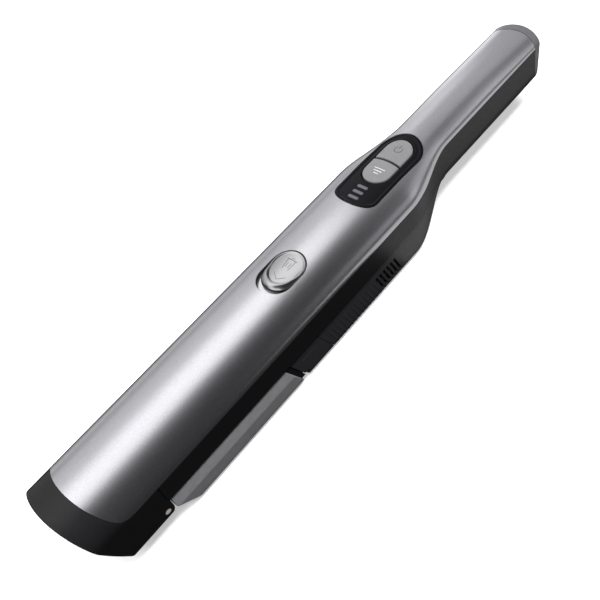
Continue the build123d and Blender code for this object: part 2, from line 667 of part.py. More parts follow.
def make_battery_cells():
    """Two cells in the handle and one in the neck, with the heights of the handle's two axes."""
    low = HANDLE_BOTTOM_Z + WALL + CELL_R + 0.4
    high = low + 2 * CELL_R + 0.3
    cells = [tube_x(CELL_R, CELL_X, CELL_X + CELL_L, 0, z) for z in (low, high)]
    cells.append(tube_x(CELL_R, NECK_CELL_X, NECK_CELL_X + CELL_L, 0, NECK_CELL_Z))
    cells = [fillet(c.edges().filter_by(GeomType.CIRCLE), 0.8) for c in cells]
    return cells[0] + cells[1] + cells[2], low, high


def make_battery_holder(low, high):
    ends = [block(x, x + 2.0, 8.0, low - 7.0, high + 7.0) for x in (CELL_X - 3.0, CELL_X + CELL_L + 1.0)]
    return ends[0] + ends[1]


def make_cell_tabs(low, high):
    tab = block(CELL_X + CELL_L + 0.2, CELL_X + CELL_L + 0.6, 3.5, low - 4, high + 4)
    poles = [block(CELL_X - 0.6, CELL_X - 0.2, 3.5, z - 4, z + 4) for z in (low, high)]
    return tab + poles[0] + poles[1]


def make_charging_port():
    """Metal socket shell in the handle's underside."""
    shell = Pos(PORT_X, 0, HANDLE_BOTTOM_Z + 4.4) * Box(9.0, 3.3, 7.6)
    hole = Pos(PORT_X, 0, HANDLE_BOTTOM_Z + 3.6) * Box(8.4, 2.6, 7.6)
    tongue = Pos(PORT_X, 0, HANDLE_BOTTOM_Z + 5.0) * Box(6.6, 0.7, 5.6)
    return (shell - hole) + tongue


def make_charging_board():
    board = block(PORT_X - 5.5, PORT_X + 7.5, 7.0, HANDLE_BOTTOM_Z + 8.3, HANDLE_BOTTOM_Z + 9.5)
    return board + Pos(PORT_X + 2.0, 2, HANDLE_BOTTOM_Z + 10.6) * Box(5, 5, 2.2)


def make_screw(x, y, z, length):
    """Cross-head screw driven upwards from z."""
    head = tube_z(2.5, z, z + 1.6, x, y)
    shank = tube_z(1.2, z + 1.6, z + length, x, y)
    cross = Pos(x, y, z) * (Box(2.6, 0.6, 1.4) + Box(0.6, 2.6, 1.4))
    return head + shank - cross


def make_wire_leads():
    """Two leads from the motor driver to the first cell, in straight runs and arcs."""
    leads = []
    for side in (-1, 1):
        y = side * 4.0
        points = ((204.4, y, 27.0), (211.0, y, 27.0), (219.0, y, 32.0), (227.4, y, 32.0))
        path = FilletPolyline(*points, radius=6.0)
        leads.append(sweep(Plane(origin=path @ 0, z_dir=path % 0) * Circle(0.9), path=path))
    return leads[0] + leads[1]


def build():
    outer = envelope()
    inner = envelope(WALL, front=NOZZLE_TIP - 6)
    housing = make_bottom_housing()
    screw_spots = [(x, side * HOUSING_SCREW_Y) for x in HOUSING_SCREW_X for side in (-1, 1)]
    for x, y in screw_spots:
        housing += tube_z(4.2, 0.6, 9.0, x, y)
        housing -= tube_z(1.2, -1, 12, x, y) + tube_z(2.7, -1, 2.3, x, y)
    boost_key, power_key = keys()
    cells, low, high = make_battery_cells()
    housing_screws = [make_screw(x, y, 0.7, 7.5) for x, y in screw_spots]
    grip_spots = [(GRIP_SCREW_X, side * GRIP_SCREW_Y) for side in (-1, 1)]
    grip_screws = [make_screw(x, y, HANDLE_BOTTOM_Z + 0.7, 5.0) for x, y in grip_spots]
    parts = {
        "top_shell": make_top_shell(outer, inner),
        "main_frame": make_main_frame(outer, inner),
        "bottom_housing": housing,
        "hinge_cover": make_hinge_cover(),
        "grip_cover": make_grip_cover(),
        "end_cap": make_end_cap(),
        "dust_door": make_dust_door(),
        "door_collar": make_door_collar(),
        "door_seals": make_door_seals(),
        "door_hinge_pin": tube_y(HINGE_R, -23.4, 23.4, HINGE_X, HINGE_Z),
        "dust_cup": make_dust_cup(),
        "inlet_duct": make_inlet_duct(),
        "inlet_flap": make_inlet_flap(),
        "flap_pin": make_flap_pin(),
        "filter_frame": make_filter_frame(),
        "pleated_filter": make_pleated_filter(),
        "mesh_screen": make_mesh_screen(),
        "filter_seal": make_filter_seal(),
        "bulkhead": make_bulkhead(),
        "fan_shroud": make_fan_shroud(),
        "impeller": make_impeller(),
        "motor_shaft": make_motor_shaft(),
        "motor_can": make_motor_can(),
        "front_motor_mount": make_motor_mount(MOTOR_X + 8.0),
        "rear_motor_mount": make_motor_mount(MOTOR_X + MOTOR_L - 8.0),
        "motor_driver": make_motor_driver(),
        "exhaust_foam": make_exhaust_foam(),
        "slider_well": make_slider_well(),
        "release_slider": make_release_slider(),
        "door_latch": make_door_latch(),
        "guide_pins": make_guide_pins(),
        "release_spring": make_release_spring(),
        "control_panel": make_control_panel(outer),
        "led_bars": make_led_bars(),
        "boost_button": with_plunger(boost_key, KEY_STEMS[0]),
        "power_button": with_plunger(power_key, KEY_STEMS[1]),
        "boost_spring": make_key_spring(KEY_STEMS[0]),
        "power_spring": make_key_spring(KEY_STEMS[1]),
        "boost_switch": make_switch(KEY_STEMS[0]),
        "power_switch": make_switch(KEY_STEMS[1]),
        "control_board": make_control_board(),
        "battery_cells": cells,
        "battery_holder": make_battery_holder(low, high),
        "cell_tabs": make_cell_tabs(low, high),
        "charging_port": make_charging_port(),
        "charging_board": make_charging_board(),
        "housing_screws": Compound(children=housing_screws),
        "grip_screws": Compound(children=grip_screws),
        "wire_leads": make_wire_leads(),
    }
    front = parts["main_frame"].bounding_box().min.X
    rear = parts["end_cap"].bounding_box().max.X
    middle = (front + rear) / 2
    os.makedirs("parts", exist_ok=True)
    for name, shape in parts.items():
        export_step(Pos(-middle, 0, 0) * shape, f"parts/{name}.step")


build()
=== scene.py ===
import bmesh
import bpy
from math import cos, pi, radians, sin, sqrt, tan
from mathutils import Matrix, Vector


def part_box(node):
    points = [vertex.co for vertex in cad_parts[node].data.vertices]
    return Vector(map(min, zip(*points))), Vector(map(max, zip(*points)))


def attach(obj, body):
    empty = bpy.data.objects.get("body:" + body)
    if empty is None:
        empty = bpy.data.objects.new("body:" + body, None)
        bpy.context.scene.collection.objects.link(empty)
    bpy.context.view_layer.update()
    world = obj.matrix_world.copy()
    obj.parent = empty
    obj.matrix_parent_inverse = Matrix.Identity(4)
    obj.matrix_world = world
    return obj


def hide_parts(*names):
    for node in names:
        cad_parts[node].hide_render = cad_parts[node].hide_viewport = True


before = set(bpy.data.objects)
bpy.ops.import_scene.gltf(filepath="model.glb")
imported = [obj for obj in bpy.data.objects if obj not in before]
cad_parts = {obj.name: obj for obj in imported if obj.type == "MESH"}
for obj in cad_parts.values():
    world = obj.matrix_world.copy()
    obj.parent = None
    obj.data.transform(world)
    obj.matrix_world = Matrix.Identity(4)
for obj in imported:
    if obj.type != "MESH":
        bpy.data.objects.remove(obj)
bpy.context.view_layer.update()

# A slim cordless hand vacuum. Stations run along +X in millimetres, as in the CAD model,
# and at() turns a station, y and z in millimetres into a point of the frame in metres.
MM = 0.001
GRIP_END = 389.85
STATION_0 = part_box("grip_cover")[1][0] / MM - GRIP_END

# --- outer form, as in the CAD model ---
BODY_W = 58.0
HANDLE_W = 35.4
TOP_Z = 57.2
SEAM_Z = 43.7
HANDLE_SEAM_Z = 47.7
HANDLE_DROP = 3.4
HANDLE_END = 390.0
CROWN_END = 394.65
NOZZLE_BOTTOM_Z = 11.2
NECK_START = 235.0
NECK_END = 288.0
SEAM_RISE_START = 252.0    # the seam rises from here to the neck's end
CROWN_DROP_START = 320.0   # and the crown comes down between these two
CROWN_DROP_END = 430.0
BELLY_R = 8.0
BELLY_INSET = 1.0
WALL = 2.0
GAP = 0.15
RAKE = 24.0

# --- release slide, panel and keys ---
RECESS_X = 150.4
RECESS_L = 33.6
RECESS_W = 24.0
SLIDER_L = 29.4
SLIDER_W = 22.9
PANEL_FRONT = 211.2
PANEL_REAR = 277.0
PANEL_W = 31.0
KEY_FRONT = 231.6
KEY_REAR = 270.8
KEY_W = 19.0
KEY_SPLIT = 251.2
LAMP_X = (217.0, 221.6, 226.2)

# --- vents and ribs ---
VENT_X = 194.4
VENT_PITCH = 3.54
VENT_TOP = 20.2
VENT_RAKE = 19.0
RIB_COUNT = 13

SCENE = bpy.context.scene


def at(x, y, z):
    return Vector(((x + STATION_0) * MM, y * MM, z * MM))


def blend(x, x0, x1):
    """0 before x0, 1 after x1, and a smooth rise between."""
    t = min(max((x - x0) / (x1 - x0), 0.0), 1.0)
    return t * t * (3 - 2 * t)


def half_width(x):
    return (BODY_W - (BODY_W - HANDLE_W) * blend(x, NECK_START, NECK_END)) / 2


def seam_z(x):
    return SEAM_Z + (HANDLE_SEAM_Z - SEAM_Z) * blend(x, SEAM_RISE_START, NECK_END)


def crown_z(x):
    return TOP_Z - HANDLE_DROP * blend(x, CROWN_DROP_START, CROWN_DROP_END)


def arch_z(x, y):
    """Height of the silver arch at station x."""
    rise = crown_z(x) - seam_z(x)
    return seam_z(x) + rise * sqrt(max(1 - (y / half_width(x)) ** 2, 0.0))


# --- building blocks ---
def mesh_object(name, verts, faces, material, body="housing"):
    data = bpy.data.meshes.new(name)
    data.from_pydata([tuple(v) for v in verts], [], faces)
    data.materials.append(material)
    for polygon in data.polygons:
        polygon.use_smooth = True
    data.validate()
    piece = bpy.data.objects.new(name, data)
    SCENE.collection.objects.link(piece)
    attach(piece, body)
    return piece


def fix_normals(piece):
    bm = bmesh.new()
    bm.from_mesh(piece.data)
    bmesh.ops.recalc_face_normals(bm, faces=bm.faces)
    bm.to_mesh(piece.data)
    bm.free()


def bevel(piece, width, segments=3, angle=40):
    mod = piece.modifiers.new("bevel", "BEVEL")
    mod.width = width * MM
    mod.segments = segments
    mod.limit_method = "ANGLE"
    mod.angle_limit = radians(angle)
    mod.harden_normals = True


def apply_modifiers(piece):
    """Turns the piece's modifiers into plain mesh."""
    graph = bpy.context.evaluated_depsgraph_get()
    made = bpy.data.meshes.new_from_object(piece.evaluated_get(graph))
    piece.modifiers.clear()
    piece.data = made


def cut(piece, cutter):
    mod = piece.modifiers.new("cut", "BOOLEAN")
    mod.operation = "DIFFERENCE"
    mod.solver = "EXACT"
    mod.object = cutter
    apply_modifiers(piece)
    bpy.data.objects.remove(cutter)


def loop_faces(count, loops):
    """Faces between successive closed loops of count points, and a cap on the first and the last."""
    faces = []
    for k in range(loops - 1):
        for i in range(count):
            j = (i + 1) % count
            faces.append([k * count + i, k * count + j, (k + 1) * count + j, (k + 1) * count + i])
    last = (loops - 1) * count
    return faces + [list(range(count))[::-1], list(range(last, last + count))]


def prism(outline, z0=40.0, z1=70.0):
    """Closed cutter over a plan outline in stations, which reaches through the silver shell by default."""
    verts = [at(x, y, z) for z in (z0, z1) for x, y in outline]
    data = bpy.data.meshes.new("cutter")
    data.from_pydata([tuple(v) for v in verts], [], loop_faces(len(outline), 2))
    cutter = bpy.data.objects.new("cutter", data)
    SCENE.collection.objects.link(cutter)
    fix_normals(cutter)
    return cutter


def shell_from_grid(name, outer, inner, material, body="housing"):
    """Closed shell between two grids of points, each a list of rows."""
    rows = len(outer)
    cols = len(outer[0])
    verts = [p for row in outer for p in row] + [p for row in inner for p in row]
    skip = rows * cols
    faces = []
    for i in range(rows - 1):
        for j in range(cols - 1):
            a = i * cols + j
            b, c, d = a + 1, a + cols + 1, a + cols
            faces += [[a, b, c, d], [skip + d, skip + c, skip + b, skip + a]]
    for i in range(rows - 1):
        for j in (0, cols - 1):
            a, b = i * cols + j, (i + 1) * cols + j
            faces.append([a, b, skip + b, skip + a])
    for j in range(cols - 1):
        for i in (0, rows - 1):
            a, b = i * cols + j, i * cols + j + 1
            faces.append([a, b, skip + b, skip + a])
    piece = mesh_object(name, verts, faces, material, body)
    fix_normals(piece)
    return piece


def between(start, end, count):
    """The count - 1 points that part the way from start to end into equal steps."""
    return [tuple(a + (b - a) * i / count for a, b in zip(start, end)) for i in range(1, count)]


def finer(line, step):
    """Open line with points no further apart than about step."""
    points = [line[0]]
    for start, end in zip(line, line[1:]):
        length = sqrt((end[0] - start[0]) ** 2 + (end[1] - start[1]) ** 2)
        points += between(start, end, max(1, round(length / step))) + [end]
    return points


def half_turn():
    return [pi * i / 24 for i in range(25)]


def stadium(x0, x1, w, side=20):
    """Plan outline with straight sides and round ends."""
    r = w / 2
    rear = [(x1 - r + r * sin(a), -r * cos(a)) for a in half_turn()]
    front = [(x0 + r - r * sin(a), r * cos(a)) for a in half_turn()]
    return rear + between(rear[-1], front[0], side) + front + between(front[-1], rear[0], side)


def pad(name, outline, insets, height, base_z, material, body):
    """Closed pad with a flat base. outline(e) is its plan outline e millimetres inside the edge,
    and height(x, y, e) is the z of the top there."""
    verts = [at(x, y, base_z) for x, y in outline(0.0)]
    for e in insets:
        verts += [at(x, y, height(x, y, e)) for x, y in outline(e)]
    faces = loop_faces(len(outline(0.0)), len(insets) + 1)
    piece = mesh_object(name, verts, faces, material, body)
    fix_normals(piece)
    return piece


def wire(name, paths, radius, material, body, closed=False):
    """Round bead along each path of points in the frame."""
    data = bpy.data.curves.new(name, "CURVE")
    data.dimensions = "3D"
    data.bevel_depth = radius * MM
    data.bevel_resolution = 3
    data.use_fill_caps = True
    for path in paths:
        line = data.splines.new("POLY")
        line.points.add(len(path) - 1)
        for point, place in zip(line.points, path):
            point.co = (*place, 1.0)
        line.use_cyclic_u = closed
    data.materials.append(material)
    piece = bpy.data.objects.new(name, data)
    SCENE.collection.objects.link(piece)
    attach(piece, body)
    return piece


# --- materials ---
class Look:
    """A Principled material whose normal can run through a rounded-edge node and a bump."""

    def __init__(self, name, colour, roughness, metallic=0.0):
        self.material = bpy.data.materials.new(name)
        self.material.use_nodes = True
        self.tree = self.material.node_tree
        self.shader = self.tree.nodes["Principled BSDF"]
        self.shader.inputs["Base Color"].default_value = (*colour, 1)
        self.shader.inputs["Roughness"].default_value = roughness
        self.shader.inputs["Metallic"].default_value = metallic
        self.place = self.tree.nodes.new("ShaderNodeTexCoord").outputs["Object"]
        self.normal = None

    def link(self, source, target):
        self.tree.links.new(source, target)

    def set(self, values):
        for socket, value in values.items():
            self.shader.inputs[socket].default_value = value
        return self

    def rounded(self, radius=0.35):
        made = self.tree.nodes.new("ShaderNodeBevel")
        made.samples = 6
        made.inputs["Radius"].default_value = radius * MM
        self.normal = made.outputs["Normal"]
        return self

    def noise(self, size):
        """Noise whose features are about size millimetres across."""
        made = self.tree.nodes.new("ShaderNodeTexNoise")
        made.inputs["Scale"].default_value = 1.0 / (size * MM)
        made.inputs["Detail"].default_value = 3.0
        self.link(self.place, made.inputs["Vector"])
        return made.outputs["Fac"]

    def bump(self, size, depth, strength=1.0):
        made = self.tree.nodes.new("ShaderNodeBump")
        made.inputs["Strength"].default_value = strength
        made.inputs["Distance"].default_value = depth * MM
        self.link(self.noise(size), made.inputs["Height"])
        if self.normal is not None:
            self.link(self.normal, made.inputs["Normal"])
        self.normal = made.outputs["Normal"]
        return self

    def vary(self, socket, size, low, high):
        """Noise between low and high into a number socket, or between two colours."""
        ramp = self.tree.nodes.new("ShaderNodeValToRGB")
        ramp.color_ramp.elements[0].position = 0.3
        ramp.color_ramp.elements[1].position = 0.7
        if isinstance(low, tuple):
            ramp.color_ramp.elements[0].color = (*low, 1)
            ramp.color_ramp.elements[1].color = (*high, 1)
        else:
            ramp.color_ramp.elements[0].color = (low, low, low, 1)
            ramp.color_ramp.elements[1].color = (high, high, high, 1)
        self.link(self.noise(size), ramp.inputs["Fac"])
        self.link(ramp.outputs["Color"], self.shader.inputs[socket])
        return self

    def done(self):
        if self.normal is not None:
            self.link(self.normal, self.shader.inputs["Normal"])
        return self.material


def silver_paint():
    look = Look("silver_paint", (0.5, 0.5, 0.52), 0.3, 1.0)
    look.vary("Base Color", 0.8, (0.472, 0.472, 0.5), (0.55, 0.55, 0.576))
    look.vary("Roughness", 1.2, 0.295, 0.325)
    return look.set({"Coat Weight": 0.15, "Coat Roughness": 0.25}).done()


def satin(name, colour, roughness, grain=0.25, depth=0.012, edge=0.35, spread=0.08, gloss=0.5):
    """Moulded plastic: fine spark-eroded grain, slightly uneven gloss and rounded edges."""
    look = Look(name, colour, roughness).rounded(edge)
    dark = tuple(c * (1 - spread) for c in colour)
    light = tuple(c * (1 + spread) for c in colour)
    look.vary("Base Color", 3.0, dark, light)
    look.vary("Roughness", 1.5, roughness - 0.05, roughness + 0.05)
    return look.bump(grain, depth).set({"Specular IOR Level": gloss}).done()


def metal(name, colour, roughness, edge=0.15):
    look = Look(name, colour, roughness, 1.0).rounded(edge)
    look.vary("Roughness", 0.6, roughness * 0.75, roughness * 1.3)
    return look.bump(0.3, 0.004, 0.6).done()


def satin_metal(name, colour, roughness):
    look = Look(name, colour, roughness, 1.0).rounded(0.1)
    look.vary("Roughness", 0.8, roughness - 0.015, roughness + 0.015)
    return look.done()


def gloss_black():
    look = Look("gloss_black", (0.003, 0.003, 0.0037), 0.3).rounded(0.3)
    look.vary("Roughness", 2.0, 0.26, 0.34)
    return look.bump(2.5, 0.004, 0.3).set({"Specular IOR Level": 0.1}).done()


def clear_liner():
    look = Look("clear_liner", (0.7, 0.72, 0.75), 0.12).set({"Transmission Weight": 0.85, "IOR": 1.49})
    return look.bump(3.0, 0.006, 0.4).done()


def paper():
    look = Look("pleated_paper", (0.82, 0.8, 0.74), 0.9)
    look.vary("Base Color", 0.4, (0.72, 0.7, 0.64), (0.88, 0.86, 0.8))
    return look.bump(0.2, 0.03).done()


def foam():
    look = Look("open_foam", (0.05, 0.05, 0.05), 0.95)
    look.vary("Base Color", 0.8, (0.01, 0.01, 0.01), (0.1, 0.1, 0.1))
    return look.bump(0.6, 0.3).done()


def floor_look():
    look = Look("pale_floor", (0.6, 0.6, 0.6), 0.8)
    look.vary("Base Color", 60.0, (0.59, 0.59, 0.59), (0.61, 0.61, 0.61))
    return look.set({"Emission Color": (1, 1, 1, 1), "Emission Strength": 0.45}).done()


SILVER = silver_paint()
FRAME_BLACK = satin("frame_black", (0.0055, 0.0055, 0.0062), 0.42, gloss=0.25)
HOUSING_BLACK = satin("housing_black", (0.022, 0.022, 0.0245), 0.5)
GRIP = satin("grip_grey", (0.017, 0.017, 0.019), 0.55, grain=0.35, depth=0.02)
CAP_GREY = satin("cap_grey", (0.07, 0.07, 0.075), 0.34)
DOOR_GREY = satin("door_grey", (0.25, 0.25, 0.262), 0.4, depth=0.006)
KEY_GREY = satin("key_grey", (0.12, 0.12, 0.125), 0.42, depth=0.006, edge=0.15, spread=0.05)
KEY_LIGHT = satin("key_light", (0.5, 0.5, 0.52), 0.3, edge=0.1, spread=0.05)
KEY_MARK = satin("key_mark", (0.07, 0.07, 0.075), 0.5, edge=0.1, spread=0.05)
PIN_IVORY = satin("pin_ivory", (0.6, 0.52, 0.46), 0.35, depth=0.003)
INNER_BLACK = satin("inner_black", (0.015, 0.015, 0.015), 0.6)
RUBBER = satin("rubber", (0.02, 0.02, 0.021), 0.75, grain=0.3, depth=0.03)
BOARD = satin("board_green", (0.02, 0.09, 0.04), 0.4, spread=0.3)
WRAP = satin("cell_wrap", (0.05, 0.16, 0.4), 0.3, depth=0.005)
WIRE = satin("wire_red", (0.4, 0.02, 0.02), 0.4)
LAMP = satin("lamp_lens", (0.06, 0.06, 0.072), 0.35, depth=0.003, edge=0.2)
SLIDE = satin_metal("satin_slide", (0.37, 0.37, 0.376), 0.3)
SLIDE_MARK = metal("slide_mark", (0.2, 0.2, 0.21), 0.4, edge=0.1)
STEEL = metal("steel", (0.62, 0.61, 0.6), 0.3)
CAST = metal("cast_aluminium", (0.5, 0.5, 0.51), 0.45)
GLOSS_BLACK = gloss_black()

NODE_LOOKS = (
    (FRAME_BLACK, ("main_frame", "door_collar")),
    (HOUSING_BLACK, ("hinge_cover", "bottom_housing")),
    (INNER_BLACK, ("slider_well", "inlet_duct", "door_latch", "filter_frame", "battery_holder", "bulkhead",
                   "fan_shroud", "boost_switch", "power_switch")),
    (RUBBER, ("door_seals", "inlet_flap", "filter_seal", "front_motor_mount", "rear_motor_mount")),
    (STEEL, ("door_hinge_pin", "flap_pin", "motor_shaft", "release_spring", "boost_spring", "power_spring",
             "mesh_screen", "housing_screws", "grip_screws", "cell_tabs", "charging_port")),
    (CAST, ("motor_can", "impeller")),
    (BOARD, ("control_board", "charging_board", "motor_driver")),
    (GRIP, ("grip_cover",)),
    (CAP_GREY, ("end_cap",)),
    (DOOR_GREY, ("dust_door",)),
    (PIN_IVORY, ("guide_pins",)),
    (WRAP, ("battery_cells",)),
    (WIRE, ("wire_leads",)),
    (clear_liner(), ("dust_cup",)),
    (paper(), ("pleated_filter",)),
    (foam(), ("exhaust_foam",)),
)


def dress_cad_nodes():
    for look, names in NODE_LOOKS:
        for name in names:
            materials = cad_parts[name].data.materials
            materials.clear()
            materials.append(look)


# --- silver shell ---
RECESS_ENDS = (RECESS_X - RECESS_L / 2, RECESS_X + RECESS_L / 2)
FRONT_CORNER_X = 1.1       # the front edge meets the seam here
FRONT_CORNER_R = 13.0
FRONT_CORNER_RISE = 5.0    # height of the corner's arc above the seam
FRONT_SLOPE = 13.4 / 17.3
FRONT_GAP = 0.1


def front_edge(z):
    """Station of the shell's front edge at height z: a raked line with a round lower corner."""
    height = min(z - SEAM_Z, FRONT_CORNER_RISE)
    arc = sqrt(max(FRONT_CORNER_R ** 2 - (FRONT_CORNER_R - height) ** 2, 0.0))
    return FRONT_CORNER_X - arc - max(z - SEAM_Z - FRONT_CORNER_RISE, 0.0) * FRONT_SLOPE


def end_x(y):
    """Station of the shell's end, which bows out towards the crown."""
    bow = CROWN_END + GAP - HANDLE_END
    r = ((HANDLE_W / 2) ** 2 + bow ** 2) / (2 * bow)
    return CROWN_END - r + sqrt(r ** 2 - min(abs(y), HANDLE_W / 2) ** 2)


def arch_grid(inset, columns=72, rows=200):
    """Rows of points over the arch from the front edge to the handle's end."""
    grid = []
    for i in range(rows + 1):
        t = i / rows
        row = []
        for j in range(columns + 1):
            angle = radians(90) * (2 * j / columns - 1)
            start = front_edge(SEAM_Z + (TOP_Z - SEAM_Z) * cos(angle)) + FRONT_GAP
            x = start + (end_x(HANDLE_W / 2 * sin(angle)) - start) * t
            w = half_width(x) - inset
            rise = crown_z(x) - inset - seam_z(x)
            seam_gap = GAP * abs(sin(angle)) ** 8
            row.append(at(x, w * sin(angle), seam_z(x) + seam_gap + rise * cos(angle)))
        grid.append(row)
    return grid


PANEL_BOW = 9.5            # depth of the panel's bowed front edge
BOW_POWER = 0.9            # below 1, which squares the bow's corners
PANEL_GAP = 0.12


def panel_outline(e):
    """Shield shape in plan, e inside the opening: bowed front edge, parallel sides and a round rear."""
    w = PANEL_W / 2 - e
    rear = PANEL_REAR - e
    depth = PANEL_BOW * w / (PANEL_W / 2)
    bow = []
    for a in [pi / 2 * i / 14 for i in range(-14, 15)]:
        side = 1 if a > 0 else -1
        x = PANEL_FRONT + e + depth * (1 - cos(a) ** BOW_POWER)
        bow.append((x, side * w * abs(sin(a)) ** BOW_POWER))
    end = [(rear - w + w * sin(a), w * cos(a)) for a in half_turn()]
    return bow + between(bow[-1], end[0], 24) + end + between(end[-1], bow[0], 24)


def silver_shell():
    piece = shell_from_grid("silver_shell", arch_grid(0.0), arch_grid(WALL), SILVER)
    cut(piece, prism(stadium(*RECESS_ENDS, RECESS_W)))
    cut(piece, prism(panel_outline(-PANEL_GAP)))
    for polygon in piece.data.polygons:
        polygon.use_smooth = True
    bevel(piece, 0.4, 3, 45)
    apply_modifiers(piece)
    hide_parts("top_shell")


# --- release slide ---
SLIDER_REAR = RECESS_ENDS[1] - 0.5
SLIDER_FRONT = SLIDER_REAR - SLIDER_L
WELL_FLOOR = 53.6
WELL_RIM = 0.55            # the pocket's rim lies this far below the silver surface
WELL_WALL = 0.3
WELL_DEPTH = 0.8           # the pocket's block reaches this far below its floor


def recess_well():
    """Pocket under the slide, with a silver floor and walls coloured black as painted shade, so that the gap
    round the slide reads dark.
    """
    outer = stadium(*RECESS_ENDS, RECESS_W)
    inner = stadium(RECESS_ENDS[0] + WELL_WALL, RECESS_ENDS[1] - WELL_WALL, RECESS_W - 2 * WELL_WALL)
    verts = [at(x, y, WELL_FLOOR - WELL_DEPTH) for x, y in outer]
    verts += [at(x, y, arch_z(x, y) - WELL_RIM) for x, y in outer]
    verts += [at(x, y, arch_z(x, y) - WELL_RIM - 0.05) for x, y in inner]
    verts += [at(x, y, WELL_FLOOR) for x, y in inner]
    # black walls: painted shade in the gap round the slide; only the floor is silver
    piece = mesh_object("recess_well", verts, loop_faces(len(outer), 4), INNER_BLACK)
    piece.data.materials.append(SILVER)
    piece.data.polygons[-1].material_index = 1
    fix_normals(piece)
    bevel(piece, 0.2, 2)


SLIDER_PROUD = 0.15        # the rim stands this far above the silver surface
CRESCENT_W = 5.0           # extra width of the rim at the slide's front
RIM_W = 1.3
SLIDE_MARK_R = 0.15


def rounding(e, width, drop):
    """Drop of a surface e inside its edge, which is rounded over width."""
    return drop * (1 - min(e / width, 1.0)) ** 2


def slider_height(x, y, e):
    """Bulging crescent at the front and a low rim round a scooped thumb face."""
    along = (x - SLIDER_FRONT) / SLIDER_L
    lip = CRESCENT_W * (1 - blend(along, 0.0, 0.62)) + RIM_W
    front = rounding(e, 3.2, 1.9) * (1 - blend(along, 0.2, 0.8))
    edge = front + rounding(e, 0.6, 0.5)
    bulge = 0.3 * sin(pi * min(e / lip, 1.0)) * (1 - blend(along, 0.1, 0.7))
    inside = blend(e, lip - 0.3, lip + 0.6)
    depth = 1.5 * (1 - blend(along, 0.1, 1.0)) + 0.35
    return arch_z(x, y) + SLIDER_PROUD - edge + bulge - depth * inside


def slider_outline(e):
    return stadium(SLIDER_FRONT + e, SLIDER_REAR - e, SLIDER_W - 2 * e)


def release_slide():
    insets = [0.0, 0.1, 0.25, 0.5] + [0.8 + 0.3 * i for i in range(35)]
    base = WELL_FLOOR + 0.1
    piece = pad("release_slide", slider_outline, insets, slider_height, base, SLIDE, "release")
    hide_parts("release_slider")


def on_slider(x, y):
    """Point on the slide's thumb face."""
    inset = min(SLIDER_W / 2 - abs(y), x - SLIDER_FRONT, SLIDER_REAR - x)
    return at(x, y, slider_height(x, y, inset))


def slide_icons():
    """Generic bin and an arrow that points to the nozzle, as fine raised lines."""
    lid = RECESS_X + 10.0
    tip = RECESS_X - 5.0
    lines = [[(lid - 7.2, -2.2), (lid, -2.8), (lid, 2.8), (lid - 7.2, 2.2)],
             [(lid + 0.2, -3.7), (lid + 0.2, 3.7)],
             [(lid + 1.3, -1.2), (lid + 1.3, 1.2)],
             [(lid - 5.6, -0.9), (lid - 2.2, -1.0)],
             [(lid - 5.6, 0.9), (lid - 2.2, 1.0)],
             [(tip + 3.6, -4.4), (tip, 0.0), (tip + 3.6, 4.4)]]
    paths = [[on_slider(x, y) for x, y in finer(line, 0.6)] for line in lines]
    wire("slide_icons", paths, SLIDE_MARK_R, SLIDE_MARK, "release")


# --- keys, lamps and panel ---
KEY_GAP = 0.72             # half of the gap between the keys
KEY_BOW = 60.0             # radius of the line that parts them
KEY_BASE = 53.6            # clear of the springs when a key is pressed
KEY_PROUD = 0.15
PANEL_BASE = 50.4
PANEL_SUNK = 0.4           # the panel's face lies this far below the silver surface
PANEL_RIM_W = 2.6
POCKET_FLOOR = 51.3
POCKET_GAP = 0.6
BOOST_ICON_X = 239.2
POWER_ICON_X = 262.3
POWER_ICON_R = 2.6
ICON_LINE_R = 0.26
LAMP_L = 7.8
LAMP_W = 2.3
LAMP_BASE = 55.5
LAMP_SUNK = 0.05


def split_line(offset, half):
    """Bowed parting line between the keys."""
    ys = [half * i / 10 for i in range(-10, 11)]
    return [(KEY_SPLIT + offset + sqrt(KEY_BOW ** 2 - y ** 2) - KEY_BOW, y) for y in ys]


def front_key(e):
    r = KEY_W / 2 - e
    nose = [(KEY_FRONT + e + r - r * sin(a), r * cos(a)) for a in half_turn()]
    split = split_line(-KEY_GAP - e, r)
    return nose + between(nose[-1], split[0], 8) + split + between(split[-1], nose[0], 8)


def rear_key(e):
    r = KEY_W / 2 - e
    tail = [(KEY_REAR - e - r + r * sin(a), -r * cos(a)) for a in half_turn()]
    split = split_line(KEY_GAP + e, r)[::-1]
    return tail + between(tail[-1], split[0], 8) + split + between(split[-1], tail[0], 8)


def key_height(x, y, e):
    """A key's top: a rounded edge and a shallow dish."""
    dish = 0.3 * blend(e, 0.6, 5.0)
    return arch_z(x, y) + KEY_PROUD - rounding(e, 0.45, 0.5) - dish


def on_key(x, y):
    """Point on the dished middle of a key."""
    return at(x, y, key_height(x, y, KEY_W / 2) + 0.02)


def keys():
    insets = [0.0, 0.08, 0.2, 0.32, 0.45, 0.8, 1.5, 2.5, 3.5, 5.0, 6.5, 8.0, 8.9]
    boost = pad("boost_key", front_key, insets, key_height, KEY_BASE, KEY_GREY, "boost_key")
    power = pad("power_key", rear_key, insets, key_height, KEY_BASE, KEY_GREY, "power_key")
    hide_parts("boost_button")
    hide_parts("power_button")


def key_icons():
    """Three bars that widen towards the handle, and an open ring with a stroke."""
    bars = []
    for i in range(3):
        half = 1.8 + 1.1 * i
        bars.append([on_key(BOOST_ICON_X + 2.1 * i, y) for y in (-half, 0.0, half)])
    wire("boost_icon", bars, ICON_LINE_R, KEY_LIGHT, "boost_key")
    sweep = [radians(-140 + 280 * i / 28) for i in range(29)]
    ring = [on_key(POWER_ICON_X - POWER_ICON_R * cos(a), POWER_ICON_R * sin(a)) for a in sweep]
    stem = [on_key(POWER_ICON_X + d, 0.0) for d in (0.8, 2.2, 3.6)]
    wire("power_icon", [ring, stem], ICON_LINE_R, KEY_MARK, "power_key")


